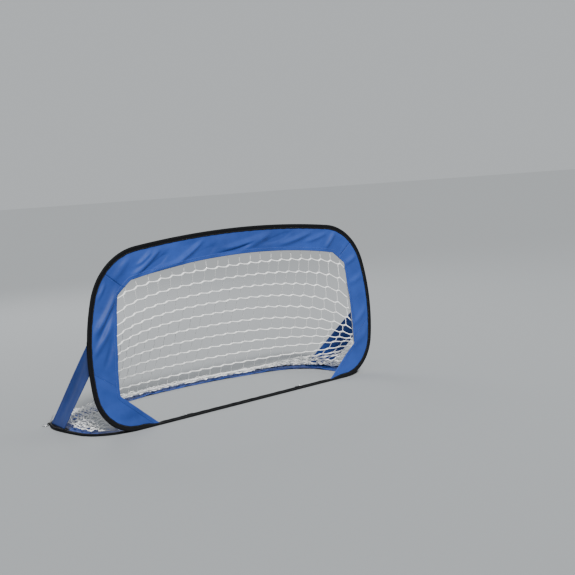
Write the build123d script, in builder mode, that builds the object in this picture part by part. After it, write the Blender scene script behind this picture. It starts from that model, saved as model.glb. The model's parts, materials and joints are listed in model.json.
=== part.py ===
"""Pop up goal: an upright sprung hoop hinged to a sprung loop on the ground, with facing, straps, net and pegs.

Millimetres, +Z up, the mouth faces -Y, X runs across the mouth. The origin is on the ground at the middle.
"""
import math
import os

from build123d import *

# ---- overall sizes
goal_width = 1200.0          # across the upright hoop
goal_height = 575.0          # ground to the top of the hoop
goal_depth = 500.0           # front face of the hoop to the back of the ground loop

# ---- upright hoop outline: foot corner, side bow, top corner, top bow
hoop_foot_radius = 148.8
hoop_top_radius = 201.3
hoop_side_low_deg = 9.1      # how far the side leans out below its widest point
hoop_side_high_deg = 16.7    # how far it leans in above it
hoop_top_bow_deg = 6.7

# ---- ground loop outline
base_width = 1176.0
base_front_radius = 117.7
base_rear_radius = 205.3
base_side_low_deg = 4.1
base_side_high_deg = 3.0
base_rear_bow_deg = 21.1

# ---- edge binding, spring and fabric
binding_width = 16.0
binding_thickness = 7.0
tape_wall = 1.0
spring_size = 3.0
spring_inset = 2.0
ferrule_size = 4.8
ferrule_length = 44.0
fabric_thickness = 1.0
fabric_tuck = 6.4            # the fabric's edge sits this far in from the loop's outer edge
base_border_width = 70.0
seam_gap = 0.4
hoop_to_base_gap = 0.5

# ---- mouth outline, right half, as parts of the half width and the height
mouth_foot_x = 0.603 * goal_width / 2
mouth_knee_x = 0.835 * goal_width / 2
mouth_knee_z = 0.200 * goal_height
mouth_mid_x = 0.827 * goal_width / 2
mouth_mid_z = 0.475 * goal_height
mouth_shoulder_x = 0.800 * goal_width / 2
mouth_shoulder_z = 0.716 * goal_height
mouth_corner_x = 0.715 * goal_width / 2
mouth_corner_z = 0.785 * goal_height
mouth_crown_z = 0.849 * goal_height
hem_width = 12.0
hem_thickness = 2.4
hem_wall = 0.6

# ---- side straps, as heights on the hoop and distances back along the ground loop
strap_high_z = 0.496 * goal_height
strap_low_z = 0.343 * goal_height
strap_near_y = 0.394 * goal_depth
strap_far_y = 0.619 * goal_depth
strap_thickness = 2.0
patch_thickness = 1.2

# ---- net
net_thickness = 1.5
net_sag = 0.18               # how much the back slope hangs below a straight line

# ---- pegs and their loops
peg_radius = 1.75
peg_length = 160.0
peg_hook_radius = 8.0
peg_loop_width = 20.0
peg_loop_wall = 0.8

half_depth = goal_depth / 2
hoop_y = -half_depth + binding_thickness / 2
base_front_y = -half_depth + binding_thickness + hoop_to_base_gap
base_depth = half_depth - base_front_y

os.makedirs("parts", exist_ok=True)


def half_loop(width, length, foot_r, top_r, low_deg, high_deg, bow_deg):
    """Segments of the right half of a bowed rounded loop, as (radius, turn in radians), foot first."""
    a, b, c = (math.radians(v) for v in (low_deg, high_deg, bow_deg))
    half = width / 2
    m11, m12 = -(1 - math.cos(b)), -math.sin(c)
    m21, m22 = math.sin(a) + math.sin(b), 1 - math.cos(c)
    r1 = -half - top_r * (math.sin(c) - math.cos(b))
    r2 = length - foot_r * (1 - math.sin(a)) - top_r * (math.cos(c) - math.sin(b))
    det = m11 * m22 - m12 * m21
    side_r = (r1 * m22 - m12 * r2) / det
    bow_r = (m11 * r2 - m21 * r1) / det
    straight = half - foot_r * math.cos(a) - side_r * (1 - math.cos(a))
    return straight, [(foot_r, math.pi / 2 - a), (side_r, a + b), (top_r, math.pi / 2 - b - c), (bow_r, c)]


def loop_arcs(outline, inset):
    """Start, middle and end points of each arc of the right half of a loop, moved in by inset."""
    straight, segments = outline
    x, y, heading = straight, 0.0, 0.0
    arcs = []
    for radius, turn in segments:
        cx, cy = x - radius * math.sin(heading), y + radius * math.cos(heading)
        r = radius - inset
        pts = []
        for k in (0.0, 0.5, 1.0):
            ang = heading - math.pi / 2 + turn * k
            pts.append((cx + r * math.cos(ang), cy + r * math.sin(ang)))
        arcs.append(pts)
        heading += turn
        x, y = cx + radius * math.sin(heading), cy - radius * math.cos(heading)
    return arcs


def loop_area(outline, inset):
    """The whole area inside a loop moved in by inset, as a flat sketch."""
    arcs = loop_arcs(outline, inset)
    left = [[(-p[0], p[1]) for p in reversed(arc)] for arc in reversed(arcs)]
    with BuildSketch() as whole:
        with BuildLine():
            Line((-arcs[0][0][0], inset), (arcs[0][0][0], inset))
            for start, mid, end in arcs:
                ThreePointArc(start, mid, end)
            for start, mid, end in left:
                ThreePointArc(start, mid, end)
        make_face()
    return whole.sketch


def ring_area(outline, outer, inner):
    """The band between two insets of a loop."""
    return loop_area(outline, outer) - loop_area(outline, inner)


def loop_point(outline, at_y, inset=0.0):
    """Half width of a loop at one height along it, on the side away from the foot corner's straight."""
    best = None
    for start, mid, end in loop_arcs(outline, inset):
        if start[1] <= at_y <= end[1]:
            # circle through the three points, solved for x at this height
            (x1, y1), (x2, y2), (x3, y3) = start, mid, end
            d = 2 * (x1 * (y2 - y3) + x2 * (y3 - y1) + x3 * (y1 - y2))
            s1, s2, s3 = x1 * x1 + y1 * y1, x2 * x2 + y2 * y2, x3 * x3 + y3 * y3
            ux = (s1 * (y2 - y3) + s2 * (y3 - y1) + s3 * (y1 - y2)) / d
            uy = (s1 * (x3 - x2) + s2 * (x1 - x3) + s3 * (x2 - x1)) / d
            r = math.hypot(x1 - ux, y1 - uy)
            best = ux + math.sqrt(max(r * r - (at_y - uy) ** 2, 0.0))
    return best


hoop_outline = half_loop(goal_width, goal_height, hoop_foot_radius, hoop_top_radius,
                         hoop_side_low_deg, hoop_side_high_deg, hoop_top_bow_deg)
base_outline = half_loop(base_width, base_depth, base_front_radius, base_rear_radius,
                         base_side_low_deg, base_side_high_deg, base_rear_bow_deg)

# The hoop is drawn on an upright plane: local x is X, local y is Z. The ground loop is drawn flat.
hoop_plane = Plane(origin=(0, hoop_y, 0), x_dir=(1, 0, 0), z_dir=(0, -1, 0))
base_plane = Plane(origin=(0, base_front_y, binding_thickness / 2), x_dir=(1, 0, 0), z_dir=(0, 0, 1))
far = 2.0 * (goal_width + goal_height + goal_depth)


def region_area(points, gap=0.0):
    """A polygon drawn in by half the gap, used to cut a band into lengths."""
    with BuildSketch() as region:
        with BuildLine():
            Polyline(*points, close=True)
        make_face()
        if gap:
            offset(amount=-gap / 2, kind=Kind.INTERSECTION, mode=Mode.REPLACE)
    return region.sketch


def mirrored(points):
    return [(-x, y) for x, y in reversed(points)]


# ---- where the lengths of binding meet
hoop_corner_z = hoop_foot_radius * (1 - math.sin(math.radians(hoop_side_low_deg)))
hoop_straight = hoop_outline[0]
top_start = loop_arcs(hoop_outline, 0)[2][1]
hoop_side_area = [(hoop_straight, -far), (far, -far), (top_start[0] * far / 100, top_start[1] * far / 100),
                  (top_start[0] * 0.5, top_start[1] * 0.5), (hoop_straight, goal_height * 0.4)]
hoop_top_area = [(top_start[0] * 0.5, top_start[1] * 0.5), (top_start[0] * far / 100, top_start[1] * far / 100),
                 (-top_start[0] * far / 100, top_start[1] * far / 100), (-top_start[0] * 0.5, top_start[1] * 0.5)]
hoop_foot_area = [(-hoop_straight, -far), (hoop_straight, -far), (hoop_straight, goal_height * 0.4),
                  (-hoop_straight, goal_height * 0.4)]

base_straight = base_outline[0]
rear_start = loop_arcs(base_outline, 0)[3][0]
rear_in = (rear_start[0] * 0.5, rear_start[1] * 0.62)
rear_out = (rear_in[0] + (rear_start[0] - rear_in[0]) * 20, rear_in[1] + (rear_start[1] - rear_in[1]) * 20)
base_side_area = [(base_straight, -far), (far, -far), rear_out, rear_in,
                  (base_straight, base_depth * 0.4)]
base_rear_area = [rear_in, rear_out, (-rear_out[0], rear_out[1]), (-rear_in[0], rear_in[1])]
base_front_area = [(-base_straight, -far), (base_straight, -far), (base_straight, base_depth * 0.3),
                   (-base_straight, base_depth * 0.3)]

channel = binding_thickness - 2 * tape_wall


def binding(plane, outline, region, label):
    """A length of tape folded over the spring and the fabric's edge, as a channel open towards the middle."""
    band = ring_area(outline, 0, binding_width) & region_area(region, seam_gap)
    hollow = ring_area(outline, tape_wall, binding_width + 1)
    with BuildPart() as piece:
        with BuildSketch(plane):
            add(band)
        extrude(amount=binding_thickness / 2, both=True)
        with BuildSketch(plane):
            add(hollow)
        extrude(amount=channel / 2, both=True, mode=Mode.SUBTRACT)
    piece.part.label = label
    export_step(piece.part, "parts/" + label + ".step")


binding(hoop_plane, hoop_outline, hoop_side_area, "hoop_binding_right")
binding(hoop_plane, hoop_outline, mirrored(hoop_side_area), "hoop_binding_left")
binding(hoop_plane, hoop_outline, hoop_top_area, "hoop_binding_top")
binding(hoop_plane, hoop_outline, hoop_foot_area, "hoop_binding_foot")
binding(base_plane, base_outline, base_side_area, "base_binding_right")
binding(base_plane, base_outline, mirrored(base_side_area), "base_binding_left")
binding(base_plane, base_outline, base_rear_area, "base_binding_rear")
binding(base_plane, base_outline, base_front_area, "base_binding_front")


def spring(plane, outline, label):
    """The closed spring steel loop inside the binding."""
    wire = ring_area(outline, spring_inset, spring_inset + spring_size)
    with BuildPart() as piece:
        with BuildSketch(plane):
            add(wire)
        extrude(amount=spring_size / 2, both=True)
    piece.part.label = label
    export_step(piece.part, "parts/" + label + ".step")


spring(hoop_plane, hoop_outline, "hoop_spring")
spring(base_plane, base_outline, "base_spring")


def ferrule(plane, label):
    """The crimped sleeve that joins the spring's two ends, halfway along the straight run."""
    mid = spring_inset + spring_size / 2
    with BuildPart() as piece:
        with BuildSketch(plane):
            with Locations((0, mid)):
                Rectangle(ferrule_length, ferrule_size)
        extrude(amount=ferrule_size / 2, both=True)
        with BuildSketch(plane):
            with Locations((0, mid)):
                Rectangle(ferrule_length + 2, spring_size + 0.1)
        extrude(amount=(spring_size + 0.1) / 2, both=True, mode=Mode.SUBTRACT)
        fillet(piece.edges().filter_by(Axis.X).group_by(SortBy.DISTANCE)[-1], 0.5)
    piece.part.label = label
    export_step(piece.part, "parts/" + label + ".step")


ferrule(hoop_plane, "hoop_spring_ferrule")
ferrule(base_plane, "base_spring_ferrule")

# ---- blue border strip sewn inside the ground loop's binding
for label, region in (("base_border_right", base_side_area), ("base_border_left", mirrored(base_side_area)),
                      ("base_border_rear", base_rear_area)):
    strip = ring_area(base_outline, fabric_tuck, base_border_width) & region_area(region, seam_gap)
    with BuildPart() as border:
        with BuildSketch(base_plane):
            add(strip)
        extrude(amount=fabric_thickness / 2, both=True)
    border.part.label = label
    export_step(border.part, "parts/" + label + ".step")


def mouth_area(grow=0.0):
    """The area of the mouth, grown outwards."""
    right = [(mouth_foot_x, 0.0), (mouth_knee_x, mouth_knee_z), (mouth_mid_x, mouth_mid_z),
             (mouth_shoulder_x, mouth_shoulder_z), (mouth_corner_x, mouth_corner_z)]
    left = [(-x, z) for x, z in right]
    with BuildSketch() as region:
        with BuildLine():
            Line(left[0], right[0])
            Line(right[0], right[1])
            ThreePointArc(right[1], right[2], right[3])
            Line(right[3], right[4])
            ThreePointArc(right[4], (0, mouth_crown_z), left[4])
            Line(left[4], left[3])
            ThreePointArc(left[3], left[2], left[1])
            Line(left[1], left[0])
        make_face()
        if grow:
            offset(amount=grow, kind=Kind.INTERSECTION, mode=Mode.REPLACE)
    return region.sketch


# ---- seams between the facing panels
seam_in = (mouth_knee_x * 0.84, mouth_knee_z * 0.75)
seam_out = (goal_width / 2 + 77, mouth_knee_z * 2.16)
head_in = (mouth_shoulder_x * 0.79, mouth_shoulder_z * 0.90)
head_out = (head_in[0] + 365, head_in[1] + 290)
side_panel = [seam_in, seam_out, (far, seam_out[1]), (far, head_out[1]), head_out, head_in]
head_panel = [head_in, head_out, (-head_out[0], head_out[1]), (-head_in[0], head_in[1])]
gusset_panel = [(0, -1), (0, 0.4 * seam_in[1]), seam_in, seam_out, (far, seam_out[1]), (far, -1)]
panels = (("facing_right", side_panel), ("facing_left", mirrored(side_panel)), ("facing_top", head_panel),
          ("gusset_right", gusset_panel), ("gusset_left", mirrored(gusset_panel)))

for label, region in panels:
    cloth = loop_area(hoop_outline, fabric_tuck) - mouth_area(0.0 if "gusset" in label else hem_wall + 0.2)
    cloth = cloth & region_area(region, seam_gap)
    with BuildPart() as panel:
        with BuildSketch(hoop_plane):
            add(cloth)
        extrude(amount=fabric_thickness / 2, both=True)
    panel.part.label = label
    export_step(panel.part, "parts/" + label + ".step")

# ---- folded hem round the mouth, which also holds the net's edge
for label, region in (("mouth_hem_right", side_panel), ("mouth_hem_left", mirrored(side_panel)),
                      ("mouth_hem_top", head_panel)):
    fold = (mouth_area(hem_width) - mouth_area()) & region_area(region, seam_gap)
    pocket = mouth_area(hem_width + 1) - mouth_area(hem_wall)
    with BuildPart() as hem:
        with BuildSketch(hoop_plane):
            add(fold)
        extrude(amount=hem_thickness / 2, both=True)
        with BuildSketch(hoop_plane):
            add(pocket)
        extrude(amount=hem_thickness / 2 - hem_wall, both=True, mode=Mode.SUBTRACT)
    hem.part.label = label
    export_step(hem.part, "parts/" + label + ".step")

# ---- stitched tabs that hold the straps' upper ends to the back of the hoop
back_plane = hoop_plane.offset(-binding_thickness / 2)
tab_low, tab_high = strap_low_z - 6, strap_high_z + 6
for label, side in (("strap_tab_right", 1), ("strap_tab_left", -1)):
    window = region_area([(side * goal_width / 4, tab_low), (side * far, tab_low), (side * far, tab_high),
                          (side * goal_width / 4, tab_high)])
    with BuildPart() as tab:
        with BuildSketch(back_plane):
            add(ring_area(hoop_outline, 0.5, binding_width + 6) & window)
        extrude(amount=-patch_thickness)
    tab.part.label = label
    export_step(tab.part, "parts/" + label + ".step")

# ---- stitched patches that hold the straps' lower ends to the ground loop
top_plane = base_plane.offset(binding_thickness / 2)
foot_near, foot_back = strap_near_y - 6, strap_far_y + 6
for label, side in (("strap_foot_right", 1), ("strap_foot_left", -1)):
    window = region_area([(side * base_width / 5, foot_near), (side * far, foot_near), (side * far, foot_back),
                          (side * base_width / 5, foot_back)])
    with BuildPart() as foot:
        with BuildSketch(top_plane):
            add(ring_area(base_outline, 0.5, binding_width + 8) & window)
        extrude(amount=patch_thickness)
    foot.part.label = label
    export_step(foot.part, "parts/" + label + ".step")

# ---- side straps, each one flat band from the hoop down and back to the ground loop
strap_top_y = -half_depth + binding_thickness + patch_thickness + 0.6
strap_foot_z = binding_thickness + patch_thickness + 0.6
for label, side in (("side_strap_right", 1), ("side_strap_left", -1)):
    top_x = loop_point(hoop_outline, (strap_high_z + strap_low_z) / 2, binding_width * 0.5)
    near_x = loop_point(base_outline, strap_near_y, binding_width * 0.5)
    high = Vector(side * top_x, strap_top_y, strap_high_z)
    low = Vector(side * top_x, strap_top_y, strap_low_z)
    near = Vector(side * near_x, base_front_y + strap_near_y, strap_foot_z)
    normal = (low - high).cross(near - high).normalized() * side
    along = (near - low).normalized()
    strap_plane = Plane(origin=low, x_dir=along, z_dir=normal)
    # the far corner lies in the same plane, at the foot's height
    far_y = base_front_y + strap_far_y
    far_x = (normal.dot(low) - normal.Y * far_y - normal.Z * strap_foot_z) / normal.X
    corners = [strap_plane.to_local_coords(p) for p in (high, low, near, Vector(far_x, far_y, strap_foot_z))]
    with BuildPart() as strap:
        with BuildSketch(strap_plane):
            with BuildLine():
                Polyline(*[(p.X, p.Y) for p in corners], close=True)
            make_face()
        extrude(amount=strap_thickness / 2, both=True)
    strap.part.label = label
    export_step(strap.part, "parts/" + label + ".step")

# ---- fabric hinge along the front line, in the inside corner of hoop and ground loop
hinge_leg = 10.0
with BuildPart() as hinge_tape:
    with BuildSketch(Plane.YZ) as hinge_section:
        with BuildLine():
            y0, z0 = -half_depth + binding_thickness + 0.1, binding_thickness + 0.1
            Polyline((y0, z0 + hinge_leg), (y0, z0), (y0 + hinge_leg, z0), (y0 + hinge_leg, z0 + 0.8),
                     (y0 + 0.8, z0 + 0.8), (y0 + 0.8, z0 + hinge_leg), close=True)
        make_face()
    extrude(amount=mouth_foot_x, both=True)
hinge_tape.part.label = "front_hinge_tape"
export_step(hinge_tape.part, "parts/front_hinge_tape.step")

# ---- net pocket: level sections of a thin shell, from the mouth's edge back and down to the ground loop
net_front_y = -half_depth + binding_thickness + 3.0
net_top_z = mouth_crown_z - 6
net_low_z = binding_thickness + 2.5
net_reach = goal_depth * 0.965


def mouth_half(level):
    """Half width of the mouth at one height, from its straight and bowed edges."""
    if level >= mouth_corner_z:
        bow = (mouth_corner_x ** 2 + (mouth_crown_z - mouth_corner_z) ** 2) / (2 * (mouth_crown_z - mouth_corner_z))
        return math.sqrt(max(bow ** 2 - (bow - (mouth_crown_z - level)) ** 2, 1.0))
    edge = [(mouth_knee_z, mouth_knee_x), (mouth_mid_z, mouth_mid_x), (mouth_shoulder_z, mouth_shoulder_x),
            (mouth_corner_z, mouth_corner_x)]
    for (z1, x1), (z2, x2) in zip(edge, edge[1:]):
        if z1 <= level <= z2:
            return x1 + (x2 - x1) * (level - z1) / (z2 - z1)
    return mouth_knee_x


def net_section(level):
    """Right half of one level line of the net, as (x, y) from the mouth to the middle of the back."""
    rise = (level - net_low_z) / (net_top_z - net_low_z)
    back = net_front_y + 4 + (net_reach - 34) * ((1 - rise) - 2.2 * net_sag * rise * (1 - rise))
    wide = mouth_half(level) - 5
    spread = max(0.0, 1 - (level - net_low_z) / (mouth_knee_z - net_low_z))
    pts = []
    for k in range(9):
        t = math.radians(90 * k / 8)
        x = wide * math.cos(t) ** (2 / 3.4)
        y = net_front_y + (back - net_front_y) * math.sin(t) ** (2 / 3.4)
        if spread > 0:
            # near the ground the net spreads out to the ground loop's binding
            edge = binding_width + 6
            down = 34 + (base_depth - edge - 35) * math.sin(t) ** 1.3
            x += (loop_point(base_outline, down, edge) - x) * spread
            y += (base_front_y + down - y) * spread
        pts.append((max(x, 0.0) if k < 8 else 0.0, y))
    return pts


with BuildPart() as goal_net:
    levels = [net_low_z, net_low_z + 0.35 * (mouth_knee_z - net_low_z), mouth_knee_z,
              0.5 * (mouth_knee_z + mouth_mid_z), mouth_mid_z, mouth_shoulder_z, mouth_corner_z,
              0.6 * mouth_corner_z + 0.4 * mouth_crown_z, net_top_z]
    for level in levels:
        outer = net_section(level)
        inner = [(x - net_thickness * (1 - 0.4 * k / 8), max(y - net_thickness * min(1, 0.25 + k / 4), net_front_y))
                 for k, (x, y) in enumerate(outer)]
        inner[0] = (outer[0][0] - net_thickness, outer[0][1])
        inner[-1] = (0.0, inner[-1][1])
        ring = [(-x, y) for x, y in outer[:-1]] + [outer[-1]] + outer[-2::-1] + inner
        ring += [(-x, y) for x, y in inner[-2::-1]]
        with BuildSketch(Plane.XY.offset(level)):
            with BuildLine():
                Polyline(*ring, close=True)
            make_face()
    loft(ruled=True)
goal_net.part.label = "goal_net"
export_step(goal_net.part, "parts/goal_net.step")

# ---- peg loops and pegs. The front pair lie inside the front line, the rear pair outside the rear corners.
loop_t = peg_loop_wall
slot_h = 2 * peg_radius + 0.6
slot_w = 2 * peg_radius + 3.0
peg_z = loop_t + 0.3 + peg_radius
stand_off = 0.3 + loop_t + slot_w / 2
rear_arc = loop_arcs(base_outline, 0)[2]
rear_heading = math.atan2(rear_arc[2][1] - rear_arc[0][1], rear_arc[2][0] - rear_arc[0][0])
front_peg_x = 0.50 * base_straight
spots = []
for name, side in (("right", 1), ("left", -1)):
    # each spot: name, point on the edge, the way the peg runs, the way out from the edge
    spots.append(("front_" + name, (side * front_peg_x, base_front_y + binding_width), (-side, 0), (0, 1)))
    run = (side * math.cos(rear_heading), math.sin(rear_heading))
    spots.append(("rear_" + name, (side * rear_arc[1][0], base_front_y + rear_arc[1][1]), run,
                  (side * run[1] * side, -run[0] * side)))

for name, (px, py), run_xy, away_xy in spots:
    run = Vector(run_xy[0], run_xy[1], 0)
    away = Vector(away_xy[0] * (1 if px > 0 or "front" in name else -1), away_xy[1], 0)
    centre = Vector(px, py, 0) + away * stand_off
    # the loop is a flat band of webbing round the peg, seen along the peg
    loop_plane = Plane(origin=centre, x_dir=away, z_dir=run)
    up = 1 if loop_plane.y_dir.Z > 0 else -1
    with BuildPart() as loop:
        with BuildSketch(loop_plane):
            with Locations((0, up * (loop_t + slot_h / 2))):
                RectangleRounded(slot_w + 2 * loop_t, slot_h + 2 * loop_t, 1.6)
                RectangleRounded(slot_w, slot_h, 1.0, mode=Mode.SUBTRACT)
        extrude(amount=peg_loop_width / 2, both=True)
    loop.part.label = "peg_loop_" + name
    export_step(loop.part, "parts/peg_loop_" + name + ".step")

    # the peg lies in the loop with its hook turned away from the edge
    head = centre - run * (peg_loop_width * 0.9) + Vector(0, 0, peg_z)
    peg_plane = Plane(origin=head, x_dir=run, z_dir=(0, 0, 1))
    turn = 1 if peg_plane.y_dir.dot(away) > 0 else -1
    with BuildPart() as peg:
        with BuildLine(peg_plane) as peg_path:
            Line((peg_length, 0), (0, 0))
            ThreePointArc((0, 0), (-peg_hook_radius, turn * peg_hook_radius), (0, turn * 2 * peg_hook_radius))
            Line((0, turn * 2 * peg_hook_radius), (14, turn * 2 * peg_hook_radius))
        with BuildSketch(Plane(origin=head + run * peg_length, x_dir=away, z_dir=run)):
            Circle(peg_radius)
        sweep(path=peg_path.line)
    peg.part.label = "ground_peg_" + name
    export_step(peg.part, "parts/ground_peg_" + name + ".step")
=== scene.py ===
"""Pop up goal: a sprung hoop faced with blue cloth, hinged to a sprung loop on the ground, with a net
pocket, side straps and ground pegs. Metres, +Z up, the mouth faces -Y. Each surface is worked out with
numpy from the loops' sizes.
"""
import json
import math

import bpy
import numpy as np
from mathutils import Matrix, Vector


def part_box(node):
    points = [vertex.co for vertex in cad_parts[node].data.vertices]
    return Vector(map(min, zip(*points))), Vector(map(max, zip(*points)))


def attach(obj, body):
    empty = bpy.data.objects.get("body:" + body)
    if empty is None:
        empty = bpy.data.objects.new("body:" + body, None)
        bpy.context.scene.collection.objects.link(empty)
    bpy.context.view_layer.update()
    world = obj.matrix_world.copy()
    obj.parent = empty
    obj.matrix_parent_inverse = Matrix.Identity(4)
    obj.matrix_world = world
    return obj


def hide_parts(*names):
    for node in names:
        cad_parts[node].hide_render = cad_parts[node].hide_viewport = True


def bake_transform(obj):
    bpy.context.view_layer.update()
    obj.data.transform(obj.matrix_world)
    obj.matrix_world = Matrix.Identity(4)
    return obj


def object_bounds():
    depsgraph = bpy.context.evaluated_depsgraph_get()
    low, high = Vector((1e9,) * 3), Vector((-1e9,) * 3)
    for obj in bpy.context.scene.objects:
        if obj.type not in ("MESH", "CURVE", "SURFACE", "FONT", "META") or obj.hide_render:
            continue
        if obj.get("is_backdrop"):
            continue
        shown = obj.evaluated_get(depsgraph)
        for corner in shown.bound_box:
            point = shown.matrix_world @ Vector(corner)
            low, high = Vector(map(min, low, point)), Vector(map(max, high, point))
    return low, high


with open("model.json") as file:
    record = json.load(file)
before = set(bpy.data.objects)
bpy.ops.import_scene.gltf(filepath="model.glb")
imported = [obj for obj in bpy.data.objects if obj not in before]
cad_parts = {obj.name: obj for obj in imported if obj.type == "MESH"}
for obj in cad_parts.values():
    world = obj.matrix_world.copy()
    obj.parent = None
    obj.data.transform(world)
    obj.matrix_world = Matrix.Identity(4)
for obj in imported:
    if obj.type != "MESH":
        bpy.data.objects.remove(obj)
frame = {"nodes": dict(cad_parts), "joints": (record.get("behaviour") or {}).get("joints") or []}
CAD_LOW, CAD_HIGH = (np.array(corner, float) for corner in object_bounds())

bl_info = {
    "name": "Pop Up Goal",
    "version": (1, 0, 0),
    "blender": (4, 5, 0),
    "location": "View3D > Sidebar > Goal",
    "description": "Builds the cloth, tape, net and pegs of a pop up goal round its packed parts",
    "category": "Add Mesh",
}

# ---- the two loops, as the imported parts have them
GOAL_HEIGHT = CAD_HIGH[2]
GOAL_WIDTH = CAD_HIGH[0] - CAD_LOW[0]
TAPE_THICKNESS = 0.007
HOOP_Y = CAD_LOW[1] + TAPE_THICKNESS / 2
BASE_FRONT = CAD_LOW[1] + TAPE_THICKNESS + 0.0005
BASE_Z = TAPE_THICKNESS / 2
TAPE_WIDTH = 0.016
SLEEVE_WIDTH = 0.0085          # where the tape holds only the spring
NOSE = TAPE_THICKNESS / 2      # radius of the tape where it goes round the spring
NET_FRONT = HOOP_Y + 0.0044
NET_ROWS = 17                  # rows of meshes from the mouth's top edge to the ground loop
POST_ROWS = 9                  # rows that end on the posts
CLOTH_INSET = 0.006            # how far inside the tape's outer edge the cloth starts
HOOP_CLOTH_X = 0.372           # where the hoop's cloth ends, out from the middle of its foot
BASE_CLOTH_X = 0.40
PATCH_LIFT = 0.0012            # a patch's height over the tape it is sewn to
FORWARD, UPWARD = (0.0, -1.0, 0.0), (0.0, 0.0, 1.0)


# ---- shape helpers

def ease(t):
    """Smooth step: 3t^2 - 2t^3 of t held between 0 and 1."""
    t = np.clip(t, 0, 1)
    return t * t * (3 - 2 * t)


def ripple(phase, along, lengths, shift=0.0):
    """Soft irregular wave, about -1 to 1: the mean of sines of the given wavelengths, each turned by its own
    share of phase."""
    waves = [np.sin(2 * np.pi * along / length + phase * (1.7 + 1.31 * k) + shift + 2.1 * k)
             for k, length in enumerate(lengths)]
    return sum(waves) / len(waves) * 1.3


def distances(*axes):
    """Distance along a path, or along each row of several paths, to each point. Axes are the coordinates."""
    steps = np.sqrt(sum(np.diff(axis) ** 2 for axis in axes))
    return np.insert(np.cumsum(steps, -1), 0, 0, -1)


def stacked(*parts):
    """Arrays broadcast to one shape and stacked along a new last axis."""
    return np.stack(np.broadcast_arrays(*parts), -1)


def both_halves(x, y):
    """A line or grid of the right half, carried on past the middle as its mirror image."""
    return np.concatenate([x, -x[-2::-1]]), np.concatenate([y, y[-2::-1]])


def loop_outline(width, length, foot_radius, top_radius, low, high, bow, samples=2401):
    """Closed outline of a sprung loop, from the middle of its straight foot round to the same point.

    The heading is constant on the straight and turns steadily on each arc, and the position is the running
    sum of short steps along it. The side's and the bow's radii are solved from the half width and the length.
    """
    a, b, c = np.radians((low, high, bow))
    half = width / 2
    matrix = [[-(1 - np.cos(b)), -np.sin(c)], [np.sin(a) + np.sin(b), 1 - np.cos(c)]]
    rest = [-half - top_radius * (np.sin(c) - np.cos(b)),
            length - foot_radius * (1 - np.sin(a)) - top_radius * (np.cos(c) - np.sin(b))]
    side_radius, bow_radius = np.linalg.solve(matrix, rest)
    straight = half - foot_radius * np.cos(a) - side_radius * (1 - np.cos(a))
    radii = np.array([foot_radius, side_radius, top_radius, bow_radius])
    turns = np.array([np.pi / 2 - a, a + b, np.pi / 2 - b - c, c])
    marks = np.concatenate([[0, straight], straight + np.cumsum(radii * turns)])
    headings = np.concatenate([[0, 0], np.cumsum(turns)])
    s = np.linspace(0, marks[-1], samples)
    step = s[1] - s[0]
    middle = np.interp(s[:-1] + step / 2, marks, headings)
    x = np.concatenate([[0], np.cumsum(np.cos(middle)) * step])
    y = np.concatenate([[0], np.cumsum(np.sin(middle)) * step])
    heading = np.interp(s, marks, headings)
    x, y = both_halves(x, y)
    return {
        "s": np.concatenate([s, 2 * s[-1] - s[-2::-1]]),
        "x": x,
        "y": y,
        "heading": np.concatenate([heading, 2 * np.pi - heading[-2::-1]]),
        "marks": marks,
        "length": 2 * s[-1],
    }


def on_loop(outline, s, inset=0.0):
    """Point at distance s along a loop, moved inwards across the heading by inset."""
    s = np.mod(s, outline["length"])
    heading = np.interp(s, outline["s"], outline["heading"])
    x = np.interp(s, outline["s"], outline["x"]) - np.sin(heading) * inset
    y = np.interp(s, outline["s"], outline["y"]) + np.cos(heading) * inset
    return x, y


HOOP = loop_outline(GOAL_WIDTH, GOAL_HEIGHT, 0.1488, 0.2013, 9.1, 16.7, 6.7)
BASE = loop_outline(1.176, CAD_HIGH[1] - BASE_FRONT, 0.1177, 0.2053, 4.1, 3.0, 21.1)


def arc_through(first, middle, last, count):
    """Points of the circle through three points, evenly turned from the first to the last."""
    p = np.array([first, middle, last], float)
    a = 2 * (p[1:] - p[0])
    centre = np.linalg.solve(a, (p[1:] ** 2).sum(1) - (p[0] ** 2).sum())
    angles = np.unwrap(np.arctan2(p[:, 1] - centre[1], p[:, 0] - centre[0]))
    turn = np.linspace(angles[0], angles[2], count)
    radius = np.hypot(*(p[0] - centre))
    return np.stack([centre[0] + radius * np.cos(turn), centre[1] + radius * np.sin(turn)], 1)


def mouth_outline():
    """Right half of the mouth's edge, foot to crown: chamfer, bowed side, upper chamfer and arched top, with
    the distance along it."""
    half, high = GOAL_WIDTH / 2, GOAL_HEIGHT
    foot, knee = (0.603 * half, 0.0), (0.835 * half, 0.200 * high)
    shoulder, corner = (0.800 * half, 0.716 * high), (0.715 * half, 0.785 * high)
    side = arc_through(knee, (0.827 * half, 0.475 * high), shoulder, 160)
    top = arc_through(corner, (0, 0.849 * high), (-corner[0], corner[1]), 321)[:161]
    chamfers = np.linspace(foot, knee, 40)[:-1], np.linspace(shoulder, corner, 24)[1:-1]
    points = np.concatenate([chamfers[0], side, chamfers[1], top])
    return distances(*points.T), points


MOUTH_RUN, MOUTH = mouth_outline()


def on_mouth(run):
    """Point of the right half of the mouth's edge at a distance along it."""
    return np.interp(run, MOUTH_RUN, MOUTH[:, 0]), np.interp(run, MOUTH_RUN, MOUTH[:, 1])


def mouth_mark(x, z):
    """Distance along the mouth's edge to the place nearest (x, z)."""
    return MOUTH_RUN[np.argmin(np.hypot(MOUTH[:, 0] - x, MOUTH[:, 1] - z))]


def height_mark(outline, height):
    """Distance along a loop's right half to the place at that height along it."""
    half = len(outline["s"]) // 2
    return np.interp(height, outline["y"][:half], outline["s"][:half])


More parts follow.
